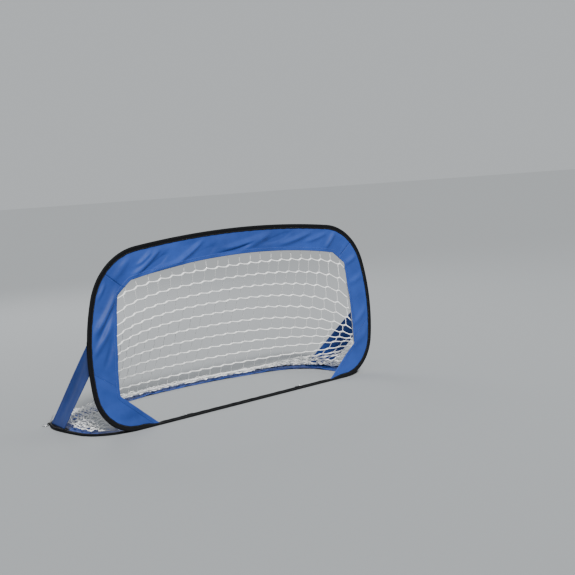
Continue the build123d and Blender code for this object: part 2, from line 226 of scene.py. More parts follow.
def seam_mark(outline, start, end):
    """Distance along a loop's right half to where the line from start through end crosses it."""
    half = len(outline["s"]) // 2
    direction = np.subtract(end, start)
    dx, dy = outline["x"][:half] - start[0], outline["y"][:half] - start[1]
    off = np.abs(dx * direction[1] - dy * direction[0]) + 10 * (dx * direction[0] + dy * direction[1] < 0)
    return outline["s"][np.argmin(off)]


def place_hoop(x, z, out):
    """The hoop stands upright: out is towards the front."""
    return stacked(x, HOOP_Y - out, z)


def place_base(x, y, out):
    """The ground loop lies flat: out is upwards."""
    return stacked(x, BASE_FRONT + y, BASE_Z + out)


def outward(place, face):
    """Direction out of a loop's own plane on its face 1 or -1."""
    return place(0.0, 0.0, face) - place(0.0, 0.0, 0)


# ---- mesh helpers

def grid_part(points, uv, wrap_i=False, wrap_j=False, caps=False):
    """A batch of grids of points (batch, i, j, 3) as quads, closed round i or j, with end caps if asked. uv
    has one more row or column than the points where the grid closes."""
    count, rows, cols = points.shape[:3]
    index = np.arange(count * rows * cols).reshape(count, rows, cols)
    i = np.arange(rows if wrap_i else rows - 1)
    j = np.arange(cols if wrap_j else cols - 1)
    corners = ((0, 0), (0, 1), (1, 1), (1, 0))
    faces = np.stack([index[:, ((i + di) % rows)[:, None], (j + dj) % cols] for di, dj in corners], -1)
    coords = np.stack([uv[:, (i + di)[:, None], j + dj] for di, dj in corners], -2)
    ends = [list(ring[::-1]) for ring in index[:, 0]] + [list(ring) for ring in index[:, -1]] if caps else []
    return points.reshape(-1, 3), faces.reshape(-1, 4), coords.reshape(-1, 2), ends


def flat_uv(u, v):
    """One batch of uv from the distances along and across a grid."""
    return stacked(u, v)[None]


def piece(name, parts, finish, closed=True, thickness=0.0):
    """A mesh object from grid parts, in a finish. A closed surface is turned to face outwards."""
    verts, faces, coords, ends, start = [], [], [], [], 0
    for points, quads, uv, caps in parts:
        verts.append(points)
        faces.append(quads + start)
        coords.append(uv)
        ends += [[int(v) + start for v in cap] for cap in caps]
        start += len(points)
    verts, faces, coords = np.concatenate(verts), np.concatenate(faces), np.concatenate(coords)
    if closed:
        a, b, c, d = (verts[faces[:, k]] for k in range(4))
        volume = (np.einsum("ij,ij->i", a, np.cross(b, c)) + np.einsum("ij,ij->i", a, np.cross(c, d))).sum()
        if volume < 0:
            faces, ends = faces[:, ::-1], [cap[::-1] for cap in ends]
            coords = coords.reshape(-1, 4, 2)[:, ::-1].reshape(-1, 2)
    mesh = bpy.data.meshes.new(name)
    mesh.from_pydata(verts.tolist(), [], faces.tolist() + ends)
    layer = mesh.uv_layers.new(name="Run")
    flat = np.zeros((len(mesh.loops), 2), np.float32)
    flat[: len(coords)] = coords
    layer.data.foreach_set("uv", flat.ravel())
    mesh.polygons.foreach_set("use_smooth", np.ones(len(mesh.polygons), bool))
    mesh.update()
    obj = bpy.data.objects.new(name, mesh)
    bpy.context.scene.collection.objects.link(obj)
    mesh.materials.append(finish_of(finish))
    if thickness:
        wall = obj.modifiers.new("Cloth thickness", "SOLIDIFY")
        wall.thickness, wall.offset = thickness, 0.0
    return obj


def tubes(paths, radius, sides=6):
    """Round strands: circles of the given radius carried along each path of a batch (batch, points, 3). The
    circle's first axis is the world axis least in line with the path, squared up to it."""
    paths = np.asarray(paths, float)
    tangent = np.gradient(paths, axis=1)
    tangent /= np.linalg.norm(tangent, axis=2, keepdims=True) + 1e-12
    least = np.abs(tangent.mean(1)).argmin(1)
    first = np.eye(3)[least][:, None, :] * np.ones_like(tangent)
    first -= tangent * (first * tangent).sum(2, keepdims=True)
    first /= np.linalg.norm(first, axis=2, keepdims=True) + 1e-12
    second = np.cross(tangent, first)
    turn = np.linspace(0, 2 * np.pi, sides + 1)
    radius = np.broadcast_to(radius, paths.shape[:2])[:, :, None, None]
    ring = np.cos(turn[:-1, None]) * first[:, :, None] + np.sin(turn[:-1, None]) * second[:, :, None]
    uv = stacked(distances(*np.moveaxis(paths, -1, 0))[:, :, None], turn / (2 * np.pi) * 0.01)
    return grid_part(paths[:, :, None] + radius * ring, uv, wrap_j=True, caps=True)


def stitches(path, outward, pitch=0.0052, length=0.0036, thread=0.00042):
    """Short thread loops along a path, each a small tube that rises out of the cloth and dives in again.
    Outward is one direction, or one for each point of the path."""
    run = distances(*path.T)
    starts = np.arange(pitch / 2, run[-1] - length, pitch)
    share = np.array([0.0, 0.3, 0.7, 1.0])
    lift = np.array([-0.6, 0.8, 0.8, -0.6]) * thread
    at = starts[:, None] + share * length
    outward = np.broadcast_to(outward, path.shape)
    points, out = (np.stack([np.interp(at, run, line[:, k]) for k in range(3)], -1)
                   for line in (path, outward))
    return tubes(points + out * lift[None, :, None], thread, 5)


# ---- materials

def times(colour, share):
    """A colour with each channel times share."""
    return tuple(channel * share for channel in colour)


class Finish:
    """A new material whose patterns are added one at a time to its Principled shader."""

    def __init__(self, name, colour, rough, sheen=0.0, metal=0.0, gloss=0.5):
        self.material = bpy.data.materials.new(name)
        self.material.use_nodes = True
        self.nodes, self.links = self.material.node_tree.nodes, self.material.node_tree.links
        self.shader = self.nodes["Principled BSDF"]
        self.place = self.nodes.new("ShaderNodeTexCoord")
        self.normal = None
        for socket, value in (("Base Color", (*colour, 1)), ("Roughness", rough), ("Metallic", metal),
                              ("Sheen Weight", sheen), ("Sheen Roughness", 0.4), ("Specular IOR Level", gloss)):
            self.shader.inputs[socket].default_value = value

    def noise(self, scale, detail, rough=0.5):
        """Cloudy noise on the piece's own place."""
        node = self.nodes.new("ShaderNodeTexNoise")
        self.links.new(self.place.outputs["Object"], node.inputs["Vector"])
        for socket, value in (("Scale", scale), ("Detail", detail), ("Roughness", rough)):
            node.inputs[socket].default_value = value
        return node.outputs["Fac"]

    def bands(self, scale, direction="X", turn=0.0, distortion=0.0):
        """Even bands across the surface's own run, turned by an angle."""
        turned = self.nodes.new("ShaderNodeMapping")
        turned.inputs["Rotation"].default_value = (0, 0, turn)
        self.links.new(self.place.outputs["UV"], turned.inputs["Vector"])
        node = self.nodes.new("ShaderNodeTexWave")
        node.bands_direction = direction
        self.links.new(turned.outputs["Vector"], node.inputs["Vector"])
        node.inputs["Scale"].default_value, node.inputs["Distortion"].default_value = scale, distortion
        return node.outputs["Fac"]

    def tint(self, factor, dark, light, low=0.3, high=0.7):
        """The base colour runs from dark to light with factor."""
        ramp = self.nodes.new("ShaderNodeValToRGB")
        for stop, at, colour in zip(ramp.color_ramp.elements, (low, high), (dark, light)):
            stop.position, stop.color = at, (*colour, 1)
        self.links.new(factor, ramp.inputs["Fac"])
        self.links.new(ramp.outputs["Color"], self.shader.inputs["Base Color"])

    def bump(self, height, strength, distance):
        """Relief from a height, on top of any relief added before."""
        node = self.nodes.new("ShaderNodeBump")
        node.inputs["Strength"].default_value, node.inputs["Distance"].default_value = strength, distance
        self.links.new(height, node.inputs["Height"])
        if self.normal:
            self.links.new(self.normal, node.inputs["Normal"])
        self.normal = node.outputs["Normal"]
        self.links.new(self.normal, self.shader.inputs["Normal"])


def cloth_material(name, colour):
    """Woven polyester: a plain weave of crossed bands, a soft crease texture and a slow drift in tone."""
    cloth = Finish(name, colour, 0.55, sheen=0.02, gloss=0.22)
    cloth.tint(cloth.noise(7.0, 4.0, 0.6), times(colour, 0.8), times(colour, 1.25))
    cloth.bump(cloth.noise(38.0, 5.0, 0.62), 0.35, 0.004)
    weave = cloth.nodes.new("ShaderNodeMath")
    weave.operation = "MAXIMUM"
    for socket, direction in zip(weave.inputs, "XY"):
        cloth.links.new(cloth.bands(340.0, direction), socket)
    cloth.bump(weave.outputs["Value"], 0.12, 0.0002)
    return cloth.material


def tape_material(name, colour, rib=200.0):
    """Ribbed woven tape: close ribs across its run, a coarser tremble along it, and painted highlight on the rib
    tops with painted shade in the hollows between them.
    """
    tape = Finish(name, colour, 0.75, gloss=0.15)
    ribs = tape.bands(rib, distortion=0.4)
    # painted highlight and shade: the colour follows the rib bands, lighter on the rib tops and darker in the
    # hollows between them
    tape.tint(ribs, times(colour, 0.7), times(colour, 1.5))
    tape.bump(tape.noise(90.0, 3.0), 0.3, 0.0015)
    tape.bump(ribs, 0.4, 0.0004)
    return tape.material


def twine_material(name, colour):
    """Laid twine: slanting plies on the strand's own run, with a slight grey drift."""
    twine = Finish(name, colour, 0.7, sheen=0.2)
    twine.tint(twine.noise(25.0, 3.0), times(colour, 0.86), colour)
    twine.bump(twine.bands(120.0, turn=math.radians(38)), 0.5, 0.0006)
    return twine.material


def steel_material(name, colour, rough):
    """Zinc plated or bare wire: metal with patches of duller finish."""
    steel = Finish(name, colour, rough, metal=0.95)
    patch = steel.noise(120.0, 6.0)
    steel.tint(patch, times(colour, 0.72), colour)
    spread = steel.nodes.new("ShaderNodeMapRange")
    spread.inputs["To Min"].default_value, spread.inputs["To Max"].default_value = rough * 0.75, rough * 1.4
    steel.links.new(patch, spread.inputs["Value"])
    steel.links.new(spread.outputs["Result"], steel.shader.inputs["Roughness"])
    steel.bump(patch, 0.15, 0.0004)
    return steel.material


MATERIALS = {}


def finish_of(slot):
    """The material of a slot, made once from the colours in the panel."""
    if slot not in MATERIALS:
        look = bpy.context.scene.goal_looks
        make, *values = {
            "blue_fabric": (cloth_material, "blue_polyester", look.cloth_colour),
            "strap_fabric": (cloth_material, "blue_strap_polyester", look.strap_colour),
            "binding_tape": (tape_material, "black_edge_tape", look.tape_colour),
            "webbing": (tape_material, "black_webbing", look.tape_colour, 140.0),
            "net_twine": (twine_material, "white_twine", look.net_colour),
            "spring_steel": (steel_material, "spring_steel", (0.42, 0.43, 0.45), 0.35),
            "ferrule_metal": (steel_material, "crimped_sleeve", (0.72, 0.73, 0.75), 0.3),
            "peg_steel": (steel_material, "zinc_plated_wire", (0.62, 0.63, 0.64), 0.28),
            "blue_thread": (twine_material, "blue_thread", times(look.cloth_colour, 1.5)),
            "black_thread": (twine_material, "black_thread", (0.014, 0.014, 0.016)),
        }[slot]
        MATERIALS[slot] = make(*values)
    return MATERIALS[slot]


# ---- tape, cloth and net surfaces

TAPE_NOSE = NOSE * np.array([0.0, 0.04, 0.14, 0.32, 0.6, 1.0, 1.45, 2.0])
TAPE_FLAP = np.array([0.22, 0.45, 0.7, 0.92, 1.0])


def tape_half(inward):
    """Half thickness of the folded tape: a full round nose over the spring, easing down to the flat flaps."""
    nose = NOSE * np.clip(1 - np.abs((NOSE - inward) / NOSE) ** 2.6, 0, 1) ** (1 / 2.6)
    flap = NOSE + (0.0016 - NOSE) * ease((inward - 0.0045) / 0.007)
    return np.where(inward < NOSE, nose, flap)


def tape_width(outline, s, from_x):
    """The tape is wide where it also holds cloth, and narrows to a sleeve on the foot between the cloth's
    ends, which lie from_x out from the middle."""
    x, y = on_loop(outline, s)
    wide = np.maximum(ease((np.abs(x) - from_x) / 0.06), ease((y - 0.02) / 0.02))
    return SLEEVE_WIDTH + (TAPE_WIDTH - SLEEVE_WIDTH) * wide


def edge_tape(name, outline, place, from_x, sections=640):
    """Folded tape carried round a whole loop: up one side of the profile and down the other, slightly
    gathered."""
    s = np.linspace(0, outline["length"], sections, endpoint=False)[:, None]
    width = tape_width(outline, s, from_x)
    gather = 1 + 0.05 * ripple(0.0, s, (0.021, 0.034, 0.057))
    flap = 2 * NOSE + TAPE_FLAP * (width - 2 * NOSE + 0.0004 * ripple(1.0, s, (0.03, 0.047)))
    side = np.concatenate([np.broadcast_to(TAPE_NOSE, (sections, len(TAPE_NOSE))), flap], 1)
    half = tape_half(side) * np.where(side > NOSE, gather, 1.0)
    half[:, -1] *= 0.7
    inward = np.concatenate([side[:, ::-1], side[:, 1:]], 1)
    out = np.concatenate([-half[:, ::-1], half[:, 1:]], 1)
    x, y = on_loop(outline, s, inward)
    points = place(x, y, out)[None]
    across = np.concatenate([distances(inward[0], out[0]), [0.034]])
    u = np.concatenate([s[:, 0], [outline["length"]]])
    part = grid_part(points, flat_uv(u[:, None], across[None]), wrap_i=True, wrap_j=True)
    return piece(name, [part], "binding_tape")


def tape_stitches(name, outline, place, faces, from_x):
    """A line of stitches near the tape's inner edge, on one or both of its faces."""
    s = np.linspace(0, outline["length"], 900)
    inset = tape_width(outline, s, from_x) - 0.0026
    x, y = on_loop(outline, s, inset)
    parts = [stitches(place(x, y, face * tape_half(inset) * 1.03), outward(place, face)) for face in faces]
    return piece(name, parts, "black_thread")


def fold(x, z, start, end, width, height):
    """One soft fold: a rounded ridge along a line, fading out towards both ends."""
    run = np.subtract(end, start)
    length = np.hypot(*run)
    along = ((x - start[0]) * run[0] + (z - start[1]) * run[1]) / length ** 2
    off = ((x - start[0]) * run[1] - (z - start[1]) * run[0]) / length
    bend = off + 0.12 * length * (along - 0.5) ** 2
    fade = np.exp(-((np.abs(along - 0.5) / 0.5) ** 4))
    return height * np.exp(-((bend / (0.8 * width)) ** 2)) * fade


# each fold of the facing: start, end, width and height, in metres on the upright hoop
FOLDS = (
    ((-0.415, 0.462), (-0.315, 0.535), 0.011, 0.0062), ((-0.400, 0.492), (-0.345, 0.532), 0.008, 0.0045),
    ((-0.385, 0.462), (-0.290, 0.512), 0.010, -0.0050), ((-0.350, 0.470), (-0.230, 0.488), 0.009, 0.0036),
    ((-0.245, 0.488), (-0.150, 0.540), 0.010, 0.0052), ((-0.205, 0.480), (-0.100, 0.520), 0.012, -0.0034),
    ((-0.575, 0.300), (-0.480, 0.420), 0.012, 0.0058), ((-0.555, 0.285), (-0.500, 0.372), 0.010, -0.0042),
    ((-0.560, 0.400), (-0.520, 0.450), 0.009, 0.0040), ((-0.580, 0.240), (-0.510, 0.330), 0.012, 0.0036),
    ((-0.540, 0.205), (-0.505, 0.290), 0.010, -0.0026), ((-0.490, 0.455), (-0.430, 0.520), 0.014, 0.0030),
    ((-0.080, 0.494), (0.040, 0.512), 0.006, -0.0050), ((-0.060, 0.508), (0.080, 0.530), 0.010, 0.0042),
    ((0.020, 0.500), (0.140, 0.545), 0.013, 0.0040), ((0.110, 0.512), (0.230, 0.538), 0.010, -0.0032),
    ((0.180, 0.498), (0.330, 0.532), 0.011, 0.0042), ((0.300, 0.500), (0.400, 0.520), 0.009, 0.0030),
    ((0.395, 0.470), (0.450, 0.530), 0.011, 0.0046), ((0.440, 0.450), (0.500, 0.500), 0.012, -0.0030),
    ((0.480, 0.400), (0.560, 0.440), 0.012, 0.0034), ((0.500, 0.330), (0.575, 0.360), 0.014, 0.0030),
    ((0.505, 0.180), (0.585, 0.240), 0.014, 0.0026), ((-0.590, 0.170), (-0.500, 0.110), 0.018, 0.0016),
    ((0.500, 0.110), (0.585, 0.160), 0.016, 0.0018), ((-0.520, 0.050), (-0.420, 0.070), 0.020, 0.0014),
)


def billow(x, z):
    """How far the facing stands forward: a slow ripple and the folds, easing to nothing in the tape."""
    half = len(HOOP["s"]) // 2
    near = np.stack([HOOP["x"][:half:6], HOOP["y"][:half:6]], 1)
    gap = np.sqrt(((np.abs(x)[..., None] - near[:, 0]) ** 2 + (z[..., None] - near[:, 1]) ** 2).min(-1))
    held = ease((gap - 0.014) / 0.022)
    slack = 0.0016 * ripple(0.0, x + 0.6 * z, (0.19, 0.31))
    slack = slack + 0.0008 * ripple(2.0, z - 0.3 * x, (0.083, 0.127))
    creases = 1.5 * sum(fold(x, z, *shape) for shape in FOLDS)
    return held * np.maximum(slack + creases, -0.0024)


def panel_grid(inner, outer, rows, cols, seams=(True, True)):
    """Right-hand panel between the tape and the mouth's edge: straight lines from the loop to the mouth,
    closer together at the seams. Returns x and z."""
    share = np.linspace(0, 1, cols)
    share = (1 - np.cos(np.pi * share)) / 2 if all(seams) else np.sin(np.pi / 2 * share)
    share = share[:, None]
    across = np.linspace(0, 1, rows)[None]
    ox, oz = on_loop(HOOP, outer[0] + (outer[1] - outer[0]) * share, CLOTH_INSET)
    ix, iz = on_mouth(inner[0] + (inner[1] - inner[0]) * share)
    return ox + (ix - ox) * across, oz + (iz - oz) * across


def cloth_panel(name, x, z, out, place, first=True, last=True):
    """A cloth sheet over a flat grid, pushed out of its plane, and sunk a little at its seams, which are its
    first and last lines."""
    run = distances(x.T, z.T).T
    groove = first * np.exp(-((run / 0.0022) ** 2)) + last * np.exp(-(((run[-1:] - run) / 0.0022) ** 2))
    points = place(x, z, out - 0.0007 * groove)[None]
    middle = len(x) // 2
    u, v = distances(x[:, -1], z[:, -1]), distances(x[middle], z[middle])
    part = grid_part(points, flat_uv(u[:, None], v[None]))
    thickness = bpy.context.scene.goal_cloth.cloth
    return piece(name, [part], "blue_fabric", closed=False, thickness=thickness)


def mouth_hem(name, start, end, side, sections):
    """Folded hem carried along the mouth's edge: a round fold at the edge and a flat strip turned in behind
    it. Side is 1 or -1 for one half of the mouth, and 0 for a run across the middle."""
    run = np.linspace(start, end, sections)
    x, z = on_mouth(run)
    if side == 0:
        x, z = both_halves(x, z)
    dx, dz = np.gradient(x), np.gradient(z)
    length = np.hypot(dx, dz)
    nx, nz = dz / length, -dx / length
    for _ in range(3):
        nx[1:-1], nz[1:-1] = (nx[:-2] + nx[1:-1] + nx[2:]) / 3, (nz[:-2] + nz[1:-1] + nz[2:]) / 3
    front = np.array([0.0120, 0.0080, 0.0040, 0.0015, 0.0004])
    rise = np.array([0.0009, 0.0010, 0.0011, 0.0012, 0.0008])
    inward = np.concatenate([[0.0128], front, [0.0], front[::-1]])
    out = np.concatenate([[0.0], rise, [0.0], -rise[::-1]])
    reach = np.clip((z[:, None] - 0.0015) / 0.0098, 0.08, 1) * inward
    mirror = -1 if side < 0 else 1
    hx, hz = mirror * (x[:, None] + nx[:, None] * reach), z[:, None] + nz[:, None] * reach
    points = place_hoop(hx, hz, billow(hx, hz) + out)[None]
    u = distances(x, z)
    v = np.concatenate([distances(inward, out), [0.028]])
    part = grid_part(points, flat_uv(u[:, None], v[None]), wrap_j=True, caps=True)
    hem = piece(name, [part], "blue_fabric")
    sx, sz = mirror * (x + nx * reach[:, 1] * 0.82), z + nz * reach[:, 1] * 0.82
    line = place_hoop(sx, sz, billow(sx, sz) + 0.0011)
    return hem, piece(name + "_stitches", [stitches(line, FORWARD)], "blue_thread")


def tape_patch(name, outline, place, start, end, face, mirror, reach):
    """Stitched patch that follows the tape over its nose and flap, between two distances along the loop. Its
    seam is a box with one diagonal."""
    s, inward = np.linspace(start, end, 48)[:, None], np.linspace(0.0012, reach, 18)[None]
    x, y = on_loop(outline, s, inward)
    rise = np.maximum(tape_half(inward), 0.0021) + PATCH_LIFT
    points = place(x * mirror, y, face * rise)[None]
    part = grid_part(points, flat_uv(s, inward))
    patch = piece(name, [part], "binding_tape", closed=False, thickness=0.0011)
    lines = []
    first, last, near, far = start + 0.004, end - 0.004, 0.004, reach - 0.003
    corners = ((first, near), (last, near), (last, far), (first, far), (first, near), (last, far))
    for (s0, a0), (s1, a1) in zip(corners, corners[1:]):
        along, depth = np.linspace(s0, s1, 40), np.linspace(a0, a1, 40)
        px, py = on_loop(outline, along, depth)
        high = face * (np.maximum(tape_half(depth), 0.0021) + PATCH_LIFT + 0.0006)
        lines.append(stitches(place(px * mirror, py, high), outward(place, face), thread=0.0005))
    return patch, piece(name + "_stitches", lines, "black_thread")


# ---- the net

def net_row_points(rows, t):
    """Right half of each net row, from its front end (t = 0) to the middle of the back (t = 1).

    High rows are rounded U shapes behind the mouth: x falls as a power of the cosine and the depth grows as
    the same power of the sine. Low rows follow the ground loop at an inset, with slack waves, and the two
    shapes are mixed.
    """
    i = rows[:, None]
    t = t[None]
    low = np.clip((i - POST_ROWS) / (NET_ROWS - POST_ROWS), 0, 1)
    front_z = np.where(i <= POST_ROWS, 0.444 - 0.0665 * i + 0.0034 * i ** 2, 0.111 * (1 - low) ** 1.3 + 0.010)
    behind_hem = np.interp(front_z, MOUTH[:, 1], MOUTH[:, 0]) + 0.006
    front_x = np.where(i <= POST_ROWS, behind_hem, 0.505 + 0.02 * low)
    back_z = np.interp(i, (0, 1, 5, 10, 11.3), (0.486, 0.452, 0.286, 0.060, 0.012))
    back_y = np.maximum(HOOP_Y + 0.434 * ((0.486 - back_z) / 0.474) ** 1.12, NET_FRONT)
    turn = np.pi / 2 * t
    power = 2 / 2.3
    x = front_x * np.cos(turn) ** power
    y = NET_FRONT + (back_y - NET_FRONT) * np.sin(turn) ** power
    z = front_z + (back_z - front_z) * np.sin(turn) ** 0.95
    crown = np.interp(np.abs(x), MOUTH[-161:, 0][::-1], MOUTH[-161:, 1][::-1]) + 0.006
    z = z + (crown - z) * np.clip(1 - i, 0, 1)
    # the same rows laid along the ground loop
    corner = BASE["marks"][1] + 0.04
    along = corner + (BASE["length"] / 2 - corner) * t
    fan = (NET_ROWS - i) / (NET_ROWS - POST_ROWS)
    at_front, at_rear = 1 - ease(t / 0.3), ease((t - 0.28) / 0.42)
    side = (1 - at_front) * (1 - at_rear)
    rear_inset = np.interp(i, (9, 10, 11, 12, 13, NET_ROWS), (0.155, 0.112, 0.073, 0.066, 0.060, 0.015))
    inset = at_front * 0.020 + side * (0.034 + 0.114 * fan) + (1 - at_front) * at_rear * rear_inset
    rear_z = np.interp(i, (9, 10, 11, 12, NET_ROWS), (0.105, 0.060, 0.022, 0.0135, 0.0115))
    height = at_front * front_z + side * (0.011 + 0.070 * fan ** 1.7) + (1 - at_front) * at_rear * rear_z
    slack = ease((i - POST_ROWS - 1) / 3) * ease(t / 0.05)
    inset = inset + slack * (0.008 + 0.003 * at_rear) * ripple(2.4 * i, along, (0.071, 0.113, 0.047))
    waves = 0.6 + ripple(1.9 * i, along, (0.052, 0.091, 0.139), 1.0)
    height = height + slack * (0.006 - 0.002 * at_rear) * waves
    gx, gy = on_loop(BASE, along, np.maximum(inset, 0.013 + 0.011 * side))
    mix = ease((i - POST_ROWS + 1) / 4.5)
    x = x + (gx - x) * mix
    y = y + (BASE_FRONT + gy - y) * mix
    z = z + (height - z) * mix
    return np.stack([x, y, np.maximum(z, 0.0095)], -1)


def net_surface():
    """The net's surface as quarter rows, each evenly divided by distance from its left end to its right end,
    and the half length of each."""
    rows = np.arange(0, NET_ROWS + 0.01, 0.25)
    half = net_row_points(rows, np.linspace(0, 1, 141))
    full = np.concatenate([half * (-1, 1, 1), half[:, -2::-1]], 1)
    run = distances(*np.moveaxis(full, -1, 0))
    even = np.linspace(0, 1, 361)
    grid = [[np.interp(even * r[-1], r, line[:, k]) for k in range(3)] for r, line in zip(run, full)]
    return np.array(grid).transpose(0, 2, 1), run[:, -1] / 2


def sample_net(grid, lengths, row, run):
    """Point of the net at a row number and a distance from the row's middle, by two-way interpolation."""
    row = np.clip(row, 0, NET_ROWS)
    half = np.interp(row, np.arange(len(lengths)) * 0.25, lengths)
    i = row * 4
    j = (np.clip(run / half, -1, 1) + 1) / 2 * (grid.shape[1] - 1)
    i0, j0 = np.minimum(i.astype(int), grid.shape[0] - 2), np.minimum(j.astype(int), grid.shape[1] - 2)
    fi, fj = (i - i0)[..., None], (j - j0)[..., None]
    return ((1 - fi) * (1 - fj) * grid[i0, j0] + fi * (1 - fj) * grid[i0 + 1, j0]
            + (1 - fi) * fj * grid[i0, j0 + 1] + fi * fj * grid[i0 + 1, j0 + 1])


def net_parts(pitch, drift, row_radius, strand_radius):
    """Rows as thick strands stepping up at each knot, and thinner strands from each knot to the next row's. A
    knot is a short slanted swelling: the row enters it low on the left and leaves it high on the right."""
    grid, lengths = net_surface()
    half = [float(np.interp(r, np.arange(len(lengths)) * 0.25, lengths)) for r in range(NET_ROWS + 1)]
    knot = 0.0045
    offsets = np.array([-knot, 0.0, knot, 0.28 * pitch, 0.50 * pitch, 0.72 * pitch])
    drop = np.array([0.0036, 0.0, -0.0036, -0.0014, 0.0010, 0.0027])
    swell = np.array([1.35, 1.75, 1.35, 1.0, 0.95, 1.0])
    parts = []
    for row in range(1, NET_ROWS + 1):
        count = int(half[row] / pitch) + 3
        knots = np.arange(-count, count + 1) * pitch - drift * row
        knots = knots[np.abs(knots) < half[row] - 0.007]
        run = (knots[:, None] + offsets).ravel()
        fall = np.tile(drop, len(knots))
        thick = np.tile(swell, len(knots)) * row_radius
        keep = np.abs(run) < half[row] - 0.003
        run = np.concatenate([[-half[row]], run[keep], [half[row]]])
        fall = np.concatenate([[0.0], fall[keep], [0.0]])
        thick = np.concatenate([[row_radius], thick[keep], [row_radius]])
        spacing = np.linalg.norm(sample_net(grid, lengths, np.full(run.shape, row + 0.25), run)
                                 - sample_net(grid, lengths, np.full(run.shape, row - 0.25), run), axis=1) * 2
        shift = np.clip(fall / np.maximum(spacing, 0.004), -0.4, 0.4)
        path = sample_net(grid, lengths, row + shift, run)
        parts.append(tubes(path[None], thick[None], 7))
    down = np.linspace(0, 1, 6)
    for row in range(NET_ROWS):
        count = int(half[row + 1] / pitch) + 3
        number = np.arange(-count, count + 1)
        top, foot = number * pitch - drift * row - knot, number * pitch - drift * (row + 1) + knot
        inside = (np.abs(top) < half[row] - 0.004) | (np.abs(foot) < half[row + 1] - 0.004)
        top = np.clip(top, -half[row], half[row])[inside]
        foot = np.clip(foot, -half[row + 1], half[row + 1])[inside]
        run = top[:, None] + (foot - top)[:, None] * down
        bow = 0.0022 * np.sin(np.pi * down) * np.sin(number[inside] * 2.3 + row * 1.7)[:, None]
        at = np.broadcast_to(row + 0.03 + 0.94 * down, run.shape)
        parts.append(tubes(sample_net(grid, lengths, at, run + bow), strand_radius, 5))
    edge = np.linspace(0, NET_ROWS, 121)
    ends = [sample_net(grid, lengths, edge, np.full(edge.shape, side * 9.0)) for side in (-1, 1)]
    top = sample_net(grid, lengths, np.zeros(160), np.linspace(-half[0], half[0], 160))
    cord = np.concatenate([ends[0][::-1], top[1:-1], ends[1]])
    parts.append(tubes(cord[None], 0.0019, 8))
    return parts


# ---- properties

def colour_property(name, description, colour):
    """A colour property."""
    return bpy.props.FloatVectorProperty(name=name, description=description, subtype="COLOR", min=0, max=1,
                                         default=colour)


def length_property(name, description, low, high, value):
    """A length property, in metres."""
    return bpy.props.FloatProperty(name=name, description=description, unit="LENGTH", min=low, max=high,
                                   default=value)


class GoalLooks(bpy.types.PropertyGroup):
    """Colours of the goal's cloth, tape and net."""

    cloth_colour: colour_property("Cloth", "Colour of the facing, gussets and border", (0.0160, 0.048, 0.230))
    strap_colour: colour_property("Straps", "Colour of the two side straps", (0.0150, 0.046, 0.220))
    tape_colour: colour_property("Tape", "Colour of the edge tape and webbing", (0.0017, 0.0019, 0.0027))
    net_colour: colour_property("Net", "Colour of the twine", (0.95, 0.95, 0.94))
    floor_colour: colour_property("Floor", "Colour of the plain floor", (0.300, 0.312, 0.322))


class GoalNet(bpy.types.PropertyGroup):
    """Mesh and twine of the net."""

    pitch: length_property("Mesh width", "Distance between knots along a row", 0.02, 0.12, 0.046)
    drift: length_property("Drift", "How far a row's knots sit left of the row above", -0.03, 0.03, -0.0095)
    row_radius: length_property("Row radius", "Radius of the strands that run across", 0.0004, 0.004, 0.0018)
    strand_radius: length_property("Strand radius", "Radius of the strands that run down", 0.0004, 0.004, 0.00135)


class GoalCloth(bpy.types.PropertyGroup):
    """Cloth thickness."""

    cloth: length_property("Cloth", "Thickness of the facing and border cloth", 0.0002, 0.003, 0.0008)
    strap: length_property("Strap", "Thickness of the doubled strap cloth", 0.0002, 0.004, 0.0014)


# ---- operators

class GOAL_OT_tape(bpy.types.Operator):
    """Make the black edge tape of both loops, with its stitches"""

    bl_idname = "goal.tape"
    bl_label = "Edge tape"

    def execute(self, context):
        hoop = edge_tape("hoop_edge_tape", HOOP, place_hoop, HOOP_CLOTH_X)
        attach(hoop, "upright_hoop")
        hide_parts("hoop_binding_left", "hoop_binding_right", "hoop_binding_top", "hoop_binding_foot")
        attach(tape_stitches("hoop_edge_stitches", HOOP, place_hoop, (1, -1), HOOP_CLOTH_X), "upright_hoop")
        base = edge_tape("ground_edge_tape", BASE, place_base, BASE_CLOTH_X)
        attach(base, "ground_loop")
        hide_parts("base_binding_left", "base_binding_right", "base_binding_rear", "base_binding_front")
        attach(tape_stitches("ground_edge_stitches", BASE, place_base, (1,), BASE_CLOTH_X), "ground_loop")
        return {"FINISHED"}


# where the panels meet: points on the mouth and on the loop that each seam's line runs through
SEAM_LOW = ((0.4208, 0.0863), (0.677, 0.2484))
SEAM_HIGH = ((0.3792, 0.3705), (0.7442, 0.6605))


